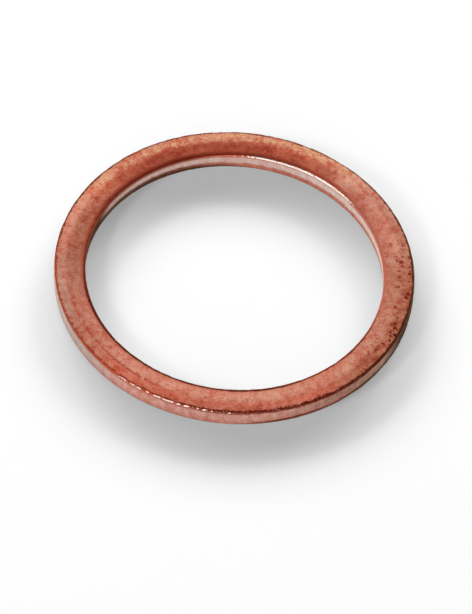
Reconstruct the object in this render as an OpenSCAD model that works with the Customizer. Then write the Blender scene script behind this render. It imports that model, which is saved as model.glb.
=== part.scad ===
// Flat copper sealing washer, a plain ring blanked from strip in one stroke.
// The blanking rolls both upper edges over, leaves a smooth band on the upper part of each wall
// and breaks the metal away below it, so the section is a little narrower at the underside.

/* [Ring] */
// Diameter of the hole, on its smooth band
hole_d = 22.2; // [8:0.1:60]
// Width of the ring, from the hole to the rim
ring_w = 2.35; // [2.2:0.05:6]
// Thickness, from the underside to the upper sealing land
thickness = 1.5; // [1.2:0.1:4]

/* [Rolled upper edges] */
// Width of the band that falls away towards the rim
rim_roll_w = 0.88; // [0.4:0.02:1]
// How far that band falls at the rim
rim_roll_fall = 0.07; // [0.02:0.01:0.15]
// Width of the band that falls away towards the hole
hole_roll_w = 0.7; // [0.4:0.02:1]
// How far that band falls at the hole
hole_roll_fall = 0.05; // [0.02:0.01:0.15]
// Radius of the round where each band meets its wall
upper_edge_r = 0.2; // [0.1:0.01:0.3]

/* [Broken lower walls] */
// Height of the broken part of each wall
break_h = 0.5; // [0.3:0.02:0.6]
// How far each wall is broken away at the underside
break_in = 0.04; // [0.02:0.01:0.1]
// Radius of the round where each wall meets the underside
lower_edge_r = 0.09; // [0.05:0.01:0.12]

/* [Hidden] */
$fn = 96;

hole_r = hole_d / 2;
rim_r = hole_r + ring_w;
land_w = ring_w - rim_roll_w - hole_roll_w;

// Angle at which each round crosses the sloping side that it runs into
round_lap = 4;

// One side of the section, with its wall at x = 0 and the metal to the left, across its band and the land
module flank(roll_w, roll_fall) {
    roll_a = atan(roll_fall / roll_w);
    break_a = atan(break_in / break_h);
    upper_reach = upper_edge_r * cos(round_lap);
    lower_reach = lower_edge_r * cos(round_lap);
    upper_z = thickness - roll_fall + upper_edge_r * tan(roll_a) - upper_reach / cos(roll_a);
    lower_x = lower_edge_r * tan(break_a) - lower_reach / cos(break_a) - break_in;

    polygon([
        [-roll_w - land_w, 0],
        [lower_x, 0],
        [lower_x + lower_reach * cos(break_a), lower_edge_r - lower_reach * sin(break_a)],
        [0, break_h],
        [0, upper_z],
        [upper_reach * sin(roll_a) - upper_edge_r, upper_z + upper_reach * cos(roll_a)],
        [-roll_w, thickness],
        [-roll_w - land_w, thickness]
    ]);
    translate([lower_x, lower_edge_r])
        circle(r = lower_edge_r);
    translate([-upper_edge_r, upper_z])
        circle(r = upper_edge_r);
}

module section() {
    translate([rim_r, 0])
        flank(rim_roll_w, rim_roll_fall);
    translate([hole_r, 0])
        mirror([1, 0])
            flank(hole_roll_w, hole_roll_fall);
}

module sealing_ring() {
    color([0.75, 0.43, 0.32])
        rotate_extrude()
            section();
}

sealing_ring();
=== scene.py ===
import math
from types import SimpleNamespace

import bpy
import numpy as np
from mathutils import Matrix, Vector


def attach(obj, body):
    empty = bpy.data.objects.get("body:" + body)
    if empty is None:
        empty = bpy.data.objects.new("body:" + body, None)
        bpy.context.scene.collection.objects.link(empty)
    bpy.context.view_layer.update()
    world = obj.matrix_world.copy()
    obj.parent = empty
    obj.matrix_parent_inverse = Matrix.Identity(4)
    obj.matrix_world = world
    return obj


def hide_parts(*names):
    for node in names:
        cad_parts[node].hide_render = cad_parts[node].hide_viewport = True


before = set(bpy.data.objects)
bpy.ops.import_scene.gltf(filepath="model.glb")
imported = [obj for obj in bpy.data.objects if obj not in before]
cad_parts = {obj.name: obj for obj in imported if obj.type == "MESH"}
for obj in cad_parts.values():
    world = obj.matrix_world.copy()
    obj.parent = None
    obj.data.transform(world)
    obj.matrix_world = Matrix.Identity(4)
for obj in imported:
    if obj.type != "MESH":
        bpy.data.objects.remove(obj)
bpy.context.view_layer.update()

MM = 0.001

# Sizes of the ring in millimetres, as in the solid.
HOLE_R, RIM_R, TOP = 11.1, 13.45, 1.5
RIM_ROLL, RIM_FALL = 0.88, 0.07
HOLE_ROLL, HOLE_FALL = 0.7, 0.05
EDGE_R, LOWER_R = 0.2, 0.09
BREAK_H, BREAK_IN = 0.5, 0.04

# Steps of the mesh, round the ring and on each stretch of the section.
TURNS = 1240
UNDER_STEPS, LOWER_STEPS, BROKEN_STEPS, SMOOTH_STEPS, ROUND_STEPS = 3, 3, 5, 7, 8
RIM_STEPS, LAND_STEPS, HOLE_STEPS = 11, 13, 6

# Crown of the upper face: its crest, how far that wanders and how wide it turns, and the slopes on its two sides.
CREST_R, CREST_WANDER, CREST_HALF = 12.46, 0.03, 0.32
SLOPE_IN, SLOPE_OUT, SLOPE_CHANGE = 0.085, 0.070, 0.012

# Wear, with its depths in millimetres.
EDGE_Z, EDGE_INSET, EDGE_REACH = 1.4, 0.05, 0.16
RIM_WEAR, LIP_WEAR, FOOT_WEAR = 0.022, 0.020, 0.012
OUTLINE_WEAR, BROKEN_WEAR, SHEAR_WEAR = 0.008, 0.012, 0.004
PITS, PIT_AZIMUTH, PIT_SPREAD, PIT_SHARE = 150, math.radians(-15), 0.75, 0.8
PIT_SIZE, PIT_DEPTH, PIT_ROWS = (0.11, 0.26), (0.002, 0.005), 12

# Where the ring is in the photo, in pixels, and how the camera stands to it, its distance in outside diameters.
PHOTO_W, PHOTO_H = 472, 614
RING_X, RING_Y, RING_PX = 234.77, 270.47, 361.5
ELEVATION, ROLL = math.radians(51.19), math.radians(5.28)
DISTANCE, SENSOR = 40, 36.0

FLOOR_HALF, FLOOR_DROP, FLOOR_WHITE = 3.0, 0.00001, 0.96
LAMP_DISTANCE = 1.0

rng = np.random.default_rng(27)
scene = bpy.context.scene


# The ring's mesh.

def arc(cx, cz, r, a0, a1, n):
    a = np.radians(np.linspace(a0, a1, n + 1))[:-1]
    return [(cx + r * math.cos(t), cz + r * math.sin(t)) for t in a]


def line(p, q, n):
    return [(p[0] + (q[0] - p[0]) * i / n, p[1] + (q[1] - p[1]) * i / n) for i in range(n)]


def flank(roll_w, fall):
    """Slopes and centres of the rounds of one side of the section, its wall at x = 0 and the metal at negative x."""
    roll = math.atan2(fall, roll_w)
    lean = math.atan2(BREAK_IN, BREAK_H)
    up = (-EDGE_R, TOP - fall + EDGE_R * math.tan(roll) - EDGE_R / math.cos(roll))
    low = (-BREAK_IN + LOWER_R * math.tan(lean) - LOWER_R / math.cos(lean), LOWER_R)
    return roll, lean, up, low


def section():
    """Closed outline of the section, counter-clockwise, as (radius, height)."""
    roll, lean, up, low = flank(RIM_ROLL, RIM_FALL)
    roll2, _, up2, low2 = flank(HOLE_ROLL, HOLE_FALL)
    d, d2, dl = math.degrees(roll), math.degrees(roll2), math.degrees(lean)
    on = lambda c, r, a: (c[0] + r * math.cos(math.radians(a)), c[1] + r * math.sin(math.radians(a)))
    out = lambda p: (RIM_R + p[0], p[1])
    inn = lambda p: (HOLE_R - p[0], p[1])
    pts = line(inn((low2[0], 0)), out((low[0], 0)), UNDER_STEPS)
    pts += arc(RIM_R + low[0], low[1], LOWER_R, -90, -dl, LOWER_STEPS)
    pts += line(out(on(low, LOWER_R, -dl)), (RIM_R, BREAK_H), BROKEN_STEPS)
    pts += line((RIM_R, BREAK_H), (RIM_R, up[1]), SMOOTH_STEPS)
    pts += arc(RIM_R + up[0], up[1], EDGE_R, 0, 90 - d, ROUND_STEPS)
    pts += line(out(on(up, EDGE_R, 90 - d)), (RIM_R - RIM_ROLL, TOP), RIM_STEPS)
    pts += line((RIM_R - RIM_ROLL, TOP), (HOLE_R + HOLE_ROLL, TOP), LAND_STEPS)
    pts += line((HOLE_R + HOLE_ROLL, TOP), inn(on(up2, EDGE_R, 90 - d2)), HOLE_STEPS)
    pts += arc(HOLE_R - up2[0], up2[1], EDGE_R, 90 + d2, 180, ROUND_STEPS)
    pts += line((HOLE_R, up2[1]), (HOLE_R, BREAK_H), SMOOTH_STEPS)
    pts += line((HOLE_R, BREAK_H), inn(on(low2, LOWER_R, -dl)), BROKEN_STEPS)
    pts += arc(HOLE_R - low2[0], low2[1], LOWER_R, 180 + dl, 270, LOWER_STEPS)
    return np.array(pts)


def wave(theta, cycles, octaves, seed):
    """Smooth noise round the ring, about -1 to 1, with that many bumps per turn in its first octave."""
    draw = np.random.default_rng(seed)
    total = np.zeros_like(theta)
    size = 1.0
    for _ in range(octaves):
        n = int(cycles)
        values = draw.uniform(-1, 1, n)
        t = (theta / (2 * math.pi) % 1) * n
        i = np.floor(t).astype(int)
        f = t - i
        f = f * f * (3 - 2 * f)
        total += size * (values[i % n] * (1 - f) + values[(i + 1) % n] * f)
        cycles *= 2.1
        size *= 0.55
    return total


def crown(x, slope_in, slope_out, half):
    """Fall below the crest of a face whose slope turns smoothly from one side to the other within half of x = 0."""
    both = slope_in + slope_out
    ramp = lambda t: np.where(t > 1, t, (np.clip(t, -1, 1) + 1) ** 2 / 4)
    top = 2 * slope_in / both - 1
    return half * (both * (ramp(x / half) - ramp(top)) - slope_in * (x / half - top))


def closed_mesh(name, co, rows, columns):
    """Object whose points are a grid that closes on itself both ways."""
    i, j = np.arange(rows)[:, None], np.arange(columns)[None, :]
    i2, j2 = (i + 1) % rows, (j + 1) % columns
    corners = (i * columns + j, i2 * columns + j, i2 * columns + j2, i * columns + j2)
    quads = np.stack(corners, -1).reshape(-1, 4)
    mesh = bpy.data.meshes.new(name)
    mesh.from_pydata(co.tolist(), [], quads.tolist())
    mesh.polygons.foreach_set("use_smooth", np.ones(len(quads), bool))
    mesh.update()
    obj = bpy.data.objects.new(name, mesh)
    scene.collection.objects.link(obj)
    return obj


def make_ring():
    outline = section()
    m = len(outline)
    tangent = np.roll(outline, -1, 0) - np.roll(outline, 1, 0)
    tangent /= np.linalg.norm(tangent, axis=1, keepdims=True)
    columns = (outline[:, 0], outline[:, 1], tangent[:, 1], -tangent[:, 0])
    r, z, nr, nz = (np.repeat(column[None, :], TURNS, 0) for column in columns)
    th = np.repeat(np.linspace(0, 2 * math.pi, TURNS, endpoint=False)[:, None], m, 1)

    # The face is crowned: its slope turns over smoothly across a crest that wanders a little
    mid = CREST_R + CREST_WANDER * wave(th, 10, 3, 7)
    within = np.clip(r, HOLE_R + EDGE_R, RIM_R - EDGE_R)
    solid = RIM_FALL / RIM_ROLL * np.clip(within - RIM_R + RIM_ROLL, 0, None)
    solid += HOLE_FALL / HOLE_ROLL * np.clip(HOLE_R + HOLE_ROLL - within, 0, None)
    fall = crown(within - mid, SLOPE_IN, SLOPE_OUT + SLOPE_CHANGE * np.sin(th), CREST_HALF)
    z = z - np.clip((z - 1.0) / 0.3, 0, 1) * (fall - solid)

    # Ragged upper edges and feet
    depth = np.zeros_like(r)
    wall = np.clip((np.abs(nr) - 0.3) / 0.5, 0, 1)
    rim = np.exp(-((np.hypot(RIM_R - EDGE_INSET - r, z - EDGE_Z)) / EDGE_REACH) ** 2)
    lip = np.exp(-((np.hypot(HOLE_R + EDGE_INSET - r, z - EDGE_Z)) / EDGE_REACH) ** 2)
    foot = np.exp(-((z - 0.03) / 0.1) ** 2) * wall
    for where, deep, bumps, seed in ((rim, RIM_WEAR, 150, 1), (lip, LIP_WEAR, 170, 2), (foot, FOOT_WEAR, 120, 3)):
        depth += where * deep * np.clip(wave(th, bumps, 3, seed) + 0.2, 0, None)
    # Slow unevenness of the blanked outline
    depth += OUTLINE_WEAR * (1 + wave(th, 14, 2, 4)) * wall
    # Broken bands are rough
    broken = np.clip((BREAK_H + 0.03 - z) / 0.08, 0, 1) * np.clip(z / 0.1, 0, 1) * wall
    depth += broken * BROKEN_WEAR * (1 + wave(th + 0.7 * z, 260, 3, 5))
    # Upright shear lines on the smooth bands
    smooth = np.clip((z - BREAK_H) / 0.1, 0, 1) * (np.abs(nr) > 0.95)
    depth += smooth * SHEAR_WEAR * (1 + wave(th, 330, 2, 6))

    # Shallow dents and pits, most of them on the right
    x, y = r * np.cos(th), r * np.sin(th)
    face = nz > 0.9
    for _ in range(PITS):
        a = rng.normal(PIT_AZIMUTH, PIT_SPREAD) if rng.random() < PIT_SHARE else rng.uniform(0, 2 * math.pi)
        pr = rng.uniform(HOLE_R + 0.2, RIM_R - 0.1)
        px, py = pr * math.cos(a), pr * math.sin(a)
        size = rng.uniform(*PIT_SIZE)
        deep = rng.uniform(*PIT_DEPTH)
        i0 = int(a / (2 * math.pi) * TURNS)
        rows = np.arange(i0 - PIT_ROWS, i0 + PIT_ROWS + 1) % TURNS
        d2 = ((x[rows] - px) ** 2 + (y[rows] - py) ** 2) / size ** 2
        depth[rows] += face[rows] * deep * np.exp(-d2)

    r = r - nr * depth
    z = np.maximum(z - nz * depth, 0.0)
    co = np.stack([r * np.cos(th), r * np.sin(th), z], -1).reshape(-1, 3) * MM
    return closed_mesh("copper_ring", co, TURNS, m)


# Materials.

class Nodes:
    """Short calls for a node tree. A value is a number, a colour or another node's output."""

    def __init__(self, tree):
        self.nodes = tree.nodes
        self.links = tree.links

    def new(self, kind):
        return self.nodes.new("ShaderNode" + kind)

    def put(self, socket, value):
        if isinstance(value, bpy.types.NodeSocket):
            self.links.new(value, socket)
        else:
            socket.default_value = value

    def math(self, op, *values, clamp=False):
        n = self.new("Math")
        n.operation = op
        n.use_clamp = clamp
        for socket, value in zip(n.inputs, values):
            self.put(socket, value)
        return n.outputs[0]

    def fold(self, op, first, *others):
        for value in others:
            first = self.math(op, first, value)
        return first

    def add(self, *values):
        return self.fold("ADD", *values)

    def mul(self, *values):
        return self.fold("MULTIPLY", *values)

    def most(self, *values):
        return self.fold("MAXIMUM", *values)

    def sub(self, a, b):
        return self.math("SUBTRACT", a, b)

    def rest(self, value):
        return self.sub(1.0, value)

    def swing(self, noise, size):
        """Noise that swings about zero."""
        return self.mul(self.sub(noise, 0.5), size)

    def step(self, value, low, high, to0=0.0, to1=1.0):
        """Smooth step from to0 at low to to1 at high, where low can be the larger one."""
        n = self.new("MapRange")
        n.interpolation_type = "SMOOTHSTEP"
        self.put(n.inputs["Value"], value)
        for name, v in (("From Min", low), ("From Max", high), ("To Min", to0), ("To Max", to1)):
            self.put(n.inputs[name], v)
        return n.outputs["Result"]

    def vec(self, x, y, z):
        n = self.new("CombineXYZ")
        for socket, value in zip(n.inputs, (x, y, z)):
            self.put(socket, value)
        return n.outputs[0]

    def split(self, vector):
        n = self.new("SeparateXYZ")
        self.put(n.inputs[0], vector)
        return n.outputs

    def noise(self, vector, scale, detail, rough=0.55):
        n = self.new("TexNoise")
        for name, v in (("Vector", vector), ("Scale", scale), ("Detail", detail), ("Roughness", rough)):
            self.put(n.inputs[name], v)
        return n.outputs["Fac"]

    def cells(self, vector, scale):
        """Distance to the nearest of many scattered points, and that point's own random number."""
        n = self.new("TexVoronoi")
        n.voronoi_dimensions = "2D"
        self.put(n.inputs["Vector"], vector)
        self.put(n.inputs["Scale"], scale)
        pick = self.new("SeparateColor")
        self.put(pick.inputs[0], n.outputs["Color"])
        return n.outputs["Distance"], pick.outputs[0]

    def mix(self, fac, a, b, blend="MIX"):
        n = self.new("Mix")
        n.data_type = "RGBA"
        n.blend_type = blend
        self.put(n.inputs["Factor"], fac)
        for name, v in (("A", a), ("B", b)):
            socket = [k for k in n.inputs if k.name == name and k.type == "RGBA"][0]
            self.put(socket, v if isinstance(v, bpy.types.NodeSocket) else (*v, 1.0))
        return [k for k in n.outputs if k.type == "RGBA"][0]


def places(g):
    """Where a point is on the section and on which side of the ring, and the noises that the looks share."""
    p = SimpleNamespace()
    coord = g.new("TexCoord")
    scale = g.new("VectorMath")
    scale.operation = "SCALE"
    g.put(scale.inputs[0], coord.outputs["Object"])
    g.put(scale.inputs["Scale"], 1 / MM)
    p.at = scale.outputs[0]
    x, y, p.z = g.split(p.at)
    p.nz = g.split(coord.outputs["Normal"])[2]
    p.level = g.math("ABSOLUTE", p.nz)
    p.r = g.math("SQRT", g.add(g.mul(x, x), g.mul(y, y)))
    p.u, p.v = g.math("DIVIDE", x, p.r), g.math("DIVIDE", y, p.r)

    def toward(azimuth, low, high):
        """One side of the ring: 1 at that azimuth, counter-clockwise from +X, and 0 away from it."""
        a = math.radians(azimuth)
        return g.step(g.add(g.mul(p.u, math.cos(a)), g.mul(p.v, math.sin(a))), low, high)

    p.toward = toward
    p.upright = g.step(p.level, 0.45, 0.08)
    p.hole_side = g.step(p.r, 12.4, 12.2)
    p.rim_side = g.rest(p.hole_side)
    p.front = g.step(p.v, 0.3, 0.0)
    p.behind = toward(100, -0.1, 0.7)
    p.hole_front = toward(245, 0.5, 0.75)
    p.hole_right = toward(25, 0.6, 0.9)

    # The marks run across the face and down the walls, so their noise is drawn out that way
    drawn_out = g.vec(g.mul(p.u, 12.3), g.mul(p.v, 12.3), g.mul(g.add(p.r, p.z), 0.35))
    p.marks = g.noise(drawn_out, 2.6, 3.0, 0.6)
    p.patches = g.noise(p.at, 0.5, 3.0)
    p.flakes = g.noise(p.at, 1.7, 2.0)
    p.mottle = g.noise(p.at, 2.4, 4.0, 0.65)
    p.grain = g.noise(p.at, 7.0, 2.0, 0.6)
    p.uneven = g.swing(g.noise(p.at, 2.6, 3.0, 0.65), 0.26)
    return p


def face_look(g, p):
    """Upper face: a red film of tarnish over paler metal, with a red border, pits and a streak."""
    toward, r = p.toward, p.r

    # The film is mottled most on the back and the right of the rim
    lively = g.add(g.mul(toward(92, 0.5, 0.9), 0.65), g.mul(toward(350, 0.75, 0.95), 0.6))
    lively = g.add(1.0, g.mul(lively, g.step(r, 12.3, 12.7)))
    calm = g.add(g.mul(toward(45, 0.82, 0.97), 0.25), g.mul(toward(183, 0.8, 0.95), 0.2))
    tone = g.add(g.swing(p.mottle, 2.3), g.swing(p.grain, 1.5), g.swing(p.marks, 0.6))
    tone = g.add(g.mul(tone, g.sub(lively, calm)), g.swing(p.patches, 1.2))
    p.tone = g.math("ADD", tone, 0.5, clamp=True)

    # The colours of film and metal change from side to side: partly tarnish, and partly painted light and shade on
    # the sides that the lamps light more or less
    torn = g.add(r, g.add(g.swing(p.mottle, 0.9), g.swing(p.grain, 0.4)))
    at_back = g.add(g.mul(p.u, -0.2), g.mul(p.v, 0.97), g.swing(p.patches, 0.8))
    redder = g.mul(g.step(at_back, 0.42, 0.95), g.step(r, 12.7, 12.3, 0.3, 1.0))
    pale_right = g.mul(toward(35, 0.88, 0.98), g.step(r, 12.7, 12.4))
    pale_left = g.mul(toward(192, 0.80, 0.97), g.step(r, 12.5, 12.8))
    amber = g.mul(toward(102, 0.50, 0.90), g.step(torn, 12.42, 12.62))
    warm = g.mul(g.step(p.v, -0.3, -0.9), g.step(r, 12.35, 12.7))
    right_stain_and_shade = g.mul(toward(343, 0.76, 0.95), g.step(r, 12.3, 12.6))
    film, metal = (0.46, 0.038, 0.008), (0.52, 0.167, 0.104)
    for where, film_there, metal_there in (
            (redder, (0.56, 0.032, 0.006), (0.60, 0.104, 0.034)),
            (pale_right, (0.60, 0.066, 0.022), (0.70, 0.270, 0.195)),
            (pale_left, (0.46, 0.060, 0.024), (0.52, 0.205, 0.145)),
            (amber, (0.47, 0.042, 0.010), (0.55, 0.220, 0.088)),
            (warm, (0.68, 0.068, 0.020), (0.74, 0.185, 0.110)),
            (right_stain_and_shade, (0.46, 0.036, 0.008), (0.49, 0.105, 0.045))):
        film, metal = g.mix(where, film, film_there), g.mix(where, metal, metal_there)
    colour = g.mix(p.tone, film, metal)

    # Painted light and shade: stretches on set sides that are a little lighter or darker than the rest
    for where, level in (
            (toward(345, 0.8, 0.97), (0.91, 0.94, 0.87)),
            (g.mul(toward(125, 0.78, 0.95), g.step(g.sub(torn, 0.4), 12.5, 12.75)), (0.92, 0.74, 0.66)),
            (g.mul(toward(178, 0.93, 0.99), g.step(r, 12.6, 12.4)), (0.86, 0.88, 0.82)),
            (toward(158, 0.92, 0.99), (1.18, 1.28, 1.27)),
            (g.mul(toward(52, 0.9, 0.98), g.step(r, 11.8, 12.3)), (1.06, 1.30, 1.38)),
            (g.mul(toward(108, 0.88, 0.98), g.step(r, 12.5, 12.35)), (0.93, 0.84, 0.78)),
            (g.mul(toward(208, 0.92, 0.99), g.step(r, 12.3, 12.6)), (1.0, 1.25, 1.35)),
            (g.mul(toward(315, 0.88, 0.97), g.step(r, 12.6, 12.85)), (1.14, 1.25, 1.3)),
            (g.mul(toward(332, 0.93, 0.99), g.step(r, 12.6, 12.85)), (1.09, 1.17, 1.2)),
            (g.mul(toward(62, 0.93, 0.99), g.step(r, 12.75, 12.5)), (1.10, 1.14, 1.10)),
            (g.mul(toward(122, 0.93, 0.99), g.step(r, 12.4, 12.1)), (1.02, 0.90, 0.80)),
            (toward(242, 0.93, 0.99), (1.07, 1.04, 1.03))):
        colour = g.mix(where, colour, level, "MULTIPLY")

    # A redder border along the hole, partly painted shade, deepest on the back left
    border = g.step(g.add(r, g.mul(p.uneven, 0.8)), 11.74, 11.38)
    strength = g.add(g.sub(0.7, g.mul(toward(345, 0.3, 0.85), 0.5)), g.mul(p.behind, 0.08))
    p.border = g.mul(border, strength)
    border_colour = g.mix(p.behind, (0.44, 0.040, 0.010), (0.50, 0.044, 0.010))
    border_colour = g.mix(toward(130, 0.85, 0.97), border_colour, (0.42, 0.030, 0.006))
    colour = g.mix(p.border, colour, border_colour)

    # Orange stains and dark pits on the right of the rim, each pit with a darker core
    stain = g.mul(toward(356, 0.92, 0.98), g.step(r, 12.45, 12.75), g.step(p.flakes, 0.46, 0.60))
    colour = g.mix(stain, colour, (1.04, 1.02, 0.62), "MULTIPLY")
    wobble = g.add(g.swing(p.mottle, 0.5), g.swing(p.grain, 0.35))
    side = g.mul(g.step(r, 11.5, 12.7, 0.35, 1.0), toward(350, 0.76, 0.96))
    side = g.add(0.04, g.mul(side, 0.96))
    far1, number1 = g.cells(p.at, 1.3)
    far2, number2 = g.cells(p.at, 2.0)
    far1, far2 = g.add(far1, wobble), g.add(far2, wobble)
    chosen1, chosen2 = g.step(number1, 0.64, 0.68), g.step(number2, 0.70, 0.74)
    large, small = g.mul(g.step(far1, 0.28, 0.16), chosen1), g.mul(g.step(far2, 0.30, 0.18), chosen2)
    p.spots = g.mul(g.most(large, g.mul(small, 0.9)), g.mul(side, g.step(p.nz, 0.8, 0.97)))
    large, small = g.mul(g.step(far1, 0.15, 0.06), chosen1), g.mul(g.step(far2, 0.17, 0.08), chosen2)
    cores = g.mul(g.most(large, small), p.spots)
    spot_colour = g.mix(g.step(r, 12.4, 12.9), (0.40, 0.026, 0.006), (0.36, 0.028, 0.005))
    colour = g.mix(p.spots, colour, spot_colour)
    colour = g.mix(cores, colour, (0.19, 0.016, 0.004))

    # A broken streak along the crest on the front left
    streak = g.step(g.math("ABSOLUTE", g.sub(g.add(r, p.uneven), 12.52)), 0.17, 0.02)
    gaps = g.step(g.noise(p.at, 3.0, 2.0), 0.40, 0.54, 0.0, 0.85)
    p.streak = g.mul(streak, toward(222, 0.72, 0.94), gaps)
    return g.mix(p.streak, colour, (0.52, 0.036, 0.009))


def wall_look(g, p):
    """Walls: a smooth pale band over a redder broken one."""
    toward, u, v, z, hole_side = p.toward, p.u, p.v, p.z, p.hole_side
    tone = g.math("ADD", g.add(g.swing(p.marks, 1.9), g.swing(p.mottle, 2.0)), 0.5, clamp=True)

    # Painted light and shade on the front of the outer wall: greyer on the left, standing in for the white floor it
    # reflects, darker on the right and darkest at the far right, which face away from the lamps
    left = g.mul(g.step(u, -0.5, -0.85), g.step(v, -0.05, -0.2))
    right = g.mul(g.step(u, 0.25, 0.7), p.front)
    p.far_right = g.mul(g.step(u, 0.84, 0.96), p.front)
    colour = g.mix(tone, (0.72, 0.20, 0.145), (0.96, 0.50, 0.42))
    colour = g.mix(left, colour, g.mix(tone, (0.42, 0.31, 0.30), (0.55, 0.45, 0.44)))
    colour = g.mix(right, colour, g.mix(tone, (0.32, 0.085, 0.060), (0.62, 0.25, 0.20)))
    colour = g.mix(p.far_right, colour, (0.07, 0.028, 0.016))

    hole_wall = g.mix(tone, (0.90, 0.52, 0.47), (1.0, 0.80, 0.76))
    hole_back = g.mix(tone, (0.92, 0.46, 0.40), (1.0, 0.72, 0.65))
    hole_wall = g.mix(toward(115, 0.5, 0.95), hole_wall, hole_back)
    p.shaded = g.mul(toward(181, 0.85, 0.94), hole_side, g.step(v, -0.2, 0.0))
    hole_wall = g.mix(p.shaded, hole_wall, (0.09, 0.038, 0.030))
    colour = g.mix(hole_side, colour, hole_wall)

    broken_colour = g.mix(tone, (0.58, 0.080, 0.034), (0.84, 0.22, 0.14))
    # Painted shade: the broken band of the hole wall is darker on the back left, and reaches higher there
    p.dim = g.mul(hole_side, toward(140, 0.7, 0.95))
    broken_colour = g.mix(p.dim, broken_colour, (0.22, 0.048, 0.024))
    wavy_z = g.add(g.sub(z, g.mul(toward(140, 0.75, 0.97), 0.12)), g.swing(p.mottle, 0.25))
    strength = g.add(0.45, g.mul(hole_side, 0.55))
    p.fracture = g.mul(p.upright, g.mul(g.step(wavy_z, 0.72, 0.40), strength))
    colour = g.mix(p.fracture, colour, broken_colour)
    # A red line along the top of the walls, under the glints: painted dark reflection
    upper_line = g.mul(g.step(z, 1.10, 1.2), g.most(hole_side, toward(232, 0.6, 0.85)))
    line_colour = g.mix(hole_side, (0.48, 0.078, 0.042), broken_colour)
    colour = g.mix(g.mul(upper_line, 0.75), colour, line_colour)

    # The halves of the walls that the photo doesn't show face the low lamps, and their colour is darkened with
    # painted shade against them
    hole_unseen = g.mul(hole_side, g.step(v, 0.0, -0.3))
    rim_unseen = g.mul(p.rim_side, g.step(v, -0.08, 0.2))
    colour = g.mix(hole_unseen, colour, (0.50, 0.30, 0.27), "MULTIPLY")
    return g.mix(rim_unseen, colour, (0.55, 0.42, 0.40), "MULTIPLY")


def edge_look(g, p, colour):
    """Dark oxide lines along the upper edges with painted dark reflection in them, darkest on the front left of the
    hole, and pale rubbed metal on two stretches, a painted highlight where the glints fall.
    """
    toward, r, z, hole_side = p.toward, p.r, p.z, p.hole_side
    left, front_right, far_rim = toward(208, 0.6, 0.9), toward(292, 0.72, 0.9), toward(10, 0.6, 0.9)
    ragged = g.swing(g.noise(p.at, 6.5, 2.0, 0.6), 0.6)
    ragged = g.mul(ragged, g.add(0.3, front_right, g.mul(left, 0.5)))
    widen = g.add(g.mul(p.hole_front, 0.075), g.mul(toward(305, 0.7, 0.95), 0.04))
    hole_line = g.step(g.sub(g.add(r, g.mul(p.uneven, 0.7)), widen), 11.36, 11.26)
    hole_line = g.mul(hole_line, g.most(p.hole_right, g.rest(p.behind)))
    spread = g.add(g.mul(front_right, 0.05), g.mul(g.most(p.behind, far_rim), 0.09), g.mul(left, 0.04))
    rim_line = g.step(g.add(r, p.uneven, g.add(ragged, spread)), 13.28, 13.35)
    upper = g.mul(g.rest(p.upright), g.step(z, 0.7, 0.9))
    on_round = g.step(g.add(z, g.add(p.uneven, g.mul(ragged, 0.4))), 1.22, 1.30)
    on_round = g.mul(front_right, on_round, p.rim_side)
    p.edge = g.mul(g.most(hole_line, rim_line), g.most(upper, on_round))

    # Oxide colours with painted dark reflection, darkest on the front left of the hole
    hole_edge = g.mix(p.hole_right, (0.30, 0.030, 0.010), (0.42, 0.032, 0.012))
    hole_edge = g.mix(p.hole_front, hole_edge, (0.145, 0.011, 0.002))
    rim_edge = g.mix(front_right, (0.45, 0.054, 0.022), (0.22, 0.022, 0.008))
    rim_edge = g.mix(p.behind, rim_edge, (0.20, 0.030, 0.011))
    rim_edge = g.mix(g.most(far_rim, toward(345, 0.8, 0.95)), rim_edge, (0.14, 0.036, 0.015))
    edge_colour = g.mix(hole_side, rim_edge, hole_edge)
    colour = g.mix(g.mul(p.edge, g.step(p.grain, 0.35, 0.7, 1.0, 0.75)), colour, edge_colour)

    # Pale rubbed metal on two stretches of the edge rounds, partly wear and partly a painted highlight where the
    # lamp's glints fall
    crumbs = g.sub(g.noise(p.at, 4.5, 2.0, 0.6), 0.5)
    on_hole = g.mul(g.step(g.add(r, g.mul(crumbs, 0.16)), 11.24, 11.20), g.step(z, 1.22, 1.28))
    on_rim = g.mul(g.step(g.add(r, g.mul(crumbs, 0.08)), 13.35, 13.375), g.step(z, 1.29, 1.34))
    rub_hole = g.add(g.mul(toward(66, 0.84, 0.975), 0.5), p.flakes, g.mul(crumbs, 0.7))
    rub_rim = g.add(g.mul(toward(251, 0.88, 0.99), 0.36), g.noise(p.at, 2.6, 2.0), g.mul(crumbs, 0.5))
    rub_hole = g.mul(on_hole, toward(66, 0.55, 0.75), g.step(rub_hole, 0.76, 0.80))
    rub_rim = g.mul(on_rim, g.step(rub_rim, 0.83, 0.87))
    p.rub = g.most(rub_hole, rub_rim)
    return g.mix(p.rub, colour, g.mix(hole_side, (0.70, 0.54, 0.49), (0.96, 0.76, 0.68)))


def foot_look(g, p, colour):
    """Red-brown feet of the walls, with painted shade making them higher and darker where they are in shade."""
    u, hole_side = p.u, p.hole_side
    low = g.most(g.mul(g.step(u, 0.0, 0.35), p.front), g.mul(hole_side, p.toward(140, 0.5, 0.9)))
    p.low = g.mul(low, g.rest(g.mul(hole_side, g.step(u, -0.1, 0.3))))
    far_low = g.mul(g.step(u, 0.6, 0.85), g.mul(p.front, p.rim_side))
    foot_z = g.sub(p.z, g.add(g.mul(p.low, 0.20), g.mul(far_low, 0.20)))
    foot = g.step(g.add(foot_z, g.mul(p.uneven, 0.7)), 0.18, 0.08)
    p.foot = g.mul(foot, g.add(0.7, g.mul(p.low, 0.3)), g.step(p.level, 0.99, 0.9))
    low_colour = g.mix(far_low, (0.30, 0.050, 0.022), (0.060, 0.018, 0.007))
    low_colour = g.mix(hole_side, low_colour, (0.16, 0.036, 0.018))
    return g.mix(p.foot, colour, g.mix(p.low, (0.33, 0.050, 0.022), low_colour))


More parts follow.
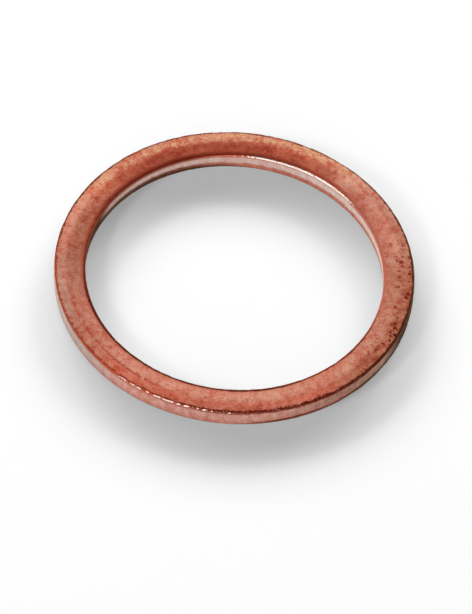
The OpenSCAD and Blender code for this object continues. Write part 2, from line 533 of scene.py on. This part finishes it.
def copper():
    mat = bpy.data.materials.new("soft_copper")
    mat.use_nodes = True
    mat.node_tree.nodes.clear()
    g = Nodes(mat.node_tree)
    out, bsdf = g.new("OutputMaterial"), g.new("BsdfPrincipled")
    g.put(out.inputs["Surface"], bsdf.outputs[0])

    p = places(g)
    colour = g.mix(p.upright, face_look(g, p), wall_look(g, p))
    colour = edge_look(g, p, colour)
    colour = foot_look(g, p, colour)
    g.put(bsdf.inputs["Base Color"], colour)

    metal = g.add(0.68, g.mul(p.tone, -0.54))
    metal = g.most(metal, g.mul(g.most(p.spots, p.streak), 0.92))
    metal = g.most(metal, g.mul(p.border, g.add(0.8, g.mul(p.behind, 0.12))))
    lustre = g.sub(0.95, g.mul(p.hole_side, p.hole_right, 0.65))
    metal = g.add(g.mul(metal, g.rest(p.edge)), g.mul(p.edge, lustre))
    # Full metal and rougher where the walls carry painted shade, so that they stay dark
    painted_shade = g.most(p.far_right, p.shaded)
    shade_metal = g.most(painted_shade, g.most(g.mul(p.foot, p.low), g.mul(p.fracture, p.dim)))
    metal = g.add(g.mul(metal, g.rest(p.upright)), g.mul(p.upright, g.add(0.5, g.mul(shade_metal, 0.5))))
    g.put(bsdf.inputs["Metallic"], metal)

    rough = g.add(0.285, g.mul(p.mottle, 0.10))
    rough = g.add(rough, g.add(g.mul(p.fracture, 0.12), g.mul(p.upright, painted_shade, 0.35)))
    rough = g.add(rough, g.mul(p.edge, g.rest(p.rub), 0.2))
    g.put(bsdf.inputs["Roughness"], rough)
    bsdf.inputs["IOR"].default_value = 2.75
    bsdf.inputs["Specular Tint"].default_value = (1.0, 0.98, 0.75, 1.0)

    height = g.add(g.mul(p.mottle, 0.006), g.mul(p.grain, 0.004), g.mul(p.marks, 0.002))
    bump = g.new("Bump")
    bump.inputs["Strength"].default_value = 1.0
    bump.inputs["Distance"].default_value = MM
    g.put(bump.inputs["Height"], g.sub(height, g.mul(p.spots, 0.002)))
    g.put(bsdf.inputs["Normal"], bump.outputs[0])
    return mat


def paper():
    mat = bpy.data.materials.new("floor_white")
    mat.use_nodes = True
    bsdf = mat.node_tree.nodes["Principled BSDF"]
    bsdf.inputs["Base Color"].default_value = (FLOOR_WHITE, FLOOR_WHITE, FLOOR_WHITE, 1.0)
    bsdf.inputs["Roughness"].default_value = 1.0
    bsdf.inputs["Specular IOR Level"].default_value = 0.0
    return mat


ring = make_ring()
ring.data.materials.append(copper())
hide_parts("sealing_ring")
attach(ring, "root")
# The floor takes the ring's shadow and none of its colour
ring.visible_diffuse = False

# Floor, light and camera.

floor_mesh = bpy.data.meshes.new("floor")
h = FLOOR_HALF
floor_mesh.from_pydata([(-h, -h, 0), (h, -h, 0), (h, h, 0), (-h, h, 0)], [], [(0, 1, 2, 3)])
floor = bpy.data.objects.new("floor", floor_mesh)
floor.location.z = -FLOOR_DROP
floor.data.materials.append(paper())
scene.collection.objects.link(floor)

# The room is bright near the horizon and on the left, and dark overhead
world = bpy.data.worlds.new("studio")
scene.world = world
world.use_nodes = True
room = Nodes(world.node_tree)
sky_x, _, sky_z = room.split(room.new("TexCoord").outputs["Generated"])
glow = room.mul(room.step(sky_z, 0.1, 0.8, 0.8, 0.06), room.add(0.7, room.mul(sky_x, -0.3)))
background = world.node_tree.nodes["Background"]
background.inputs["Color"].default_value = (1.0, 1.0, 1.0, 1.0)
room.put(background.inputs["Strength"], glow)


def softbox(name, azimuth, elevation, width, height, radiance):
    """Area lamp facing the ring. Azimuth is counter-clockwise from +X, and radiance is how bright its face is."""
    a, e = math.radians(azimuth), math.radians(elevation)
    at = Vector((math.cos(a) * math.cos(e), math.sin(a) * math.cos(e), math.sin(e))) * LAMP_DISTANCE
    data = bpy.data.lights.new(name, "AREA")
    data.shape = "RECTANGLE"
    data.size, data.size_y = width, height
    data.energy = radiance * math.pi * width * height
    lamp = bpy.data.objects.new(name, data)
    lamp.location = at
    lamp.rotation_mode = "QUATERNION"
    lamp.rotation_quaternion = at.to_track_quat("Z", "Y")
    lamp.visible_camera = False
    scene.collection.objects.link(lamp)
    return lamp


# Low lamps behind and on the left give the shadow, and the soft one in front fills it. No reflection shows these
for lamp in (
        softbox("back", 90, 15.8, 0.8, 0.20, 17.4),
        softbox("back_left", 117, 16.0, 0.5, 0.24, 18.6),
        softbox("back_right", 63, 16.0, 0.5, 0.24, 12.6),
        softbox("left_low", 143, 20, 0.5, 0.24, 6.6),
        softbox("front_soft", 270, 55, 1.0, 1.0, 0.56)):
    lamp.visible_glossy = False
# The tall box is only what the upper face reflects
softbox("tall_back", 112, 41.5, 2.0, 0.436, 1.35).visible_diffuse = False
softbox("key_left", 215, 33, 0.22, 0.22, 12.0)
softbox("fill_front", 264, 16, 0.9, 0.4, 2.6)

# The camera has the photo's tilt and roll, and is turned a little so that the ring is where the photo has it
diameter = 2 * RIM_R
px = diameter / RING_PX
centre = Vector((0, 0, TOP))
back = Vector((0, -math.cos(ELEVATION), math.sin(ELEVATION)))
right = Vector((1, 0, 0))
up = back.cross(right)
cam_right = right * math.cos(ROLL) + up * math.sin(ROLL)
cam_up = up * math.cos(ROLL) - right * math.sin(ROLL)
aim = centre - cam_right * ((RING_X - PHOTO_W / 2) * px) - cam_up * ((PHOTO_H / 2 - RING_Y) * px)
eye = centre + back * (DISTANCE * diameter)
cam_z = (eye - aim).normalized()
cam_x = cam_up.cross(cam_z).normalized()
cam_y = cam_z.cross(cam_x)
cam_data = bpy.data.cameras.new("camera")
cam_data.sensor_width = SENSOR
cam_data.lens = RING_PX * DISTANCE * SENSOR / PHOTO_H
cam_data.clip_start, cam_data.clip_end = 0.01, 10.0
cam = bpy.data.objects.new("camera", cam_data)
cam.matrix_world = Matrix.Translation(eye * MM) @ Matrix((cam_x, cam_y, cam_z)).transposed().to_4x4()
scene.collection.objects.link(cam)
scene.camera = cam
bpy.context.scene.view_settings.view_transform = "Standard"
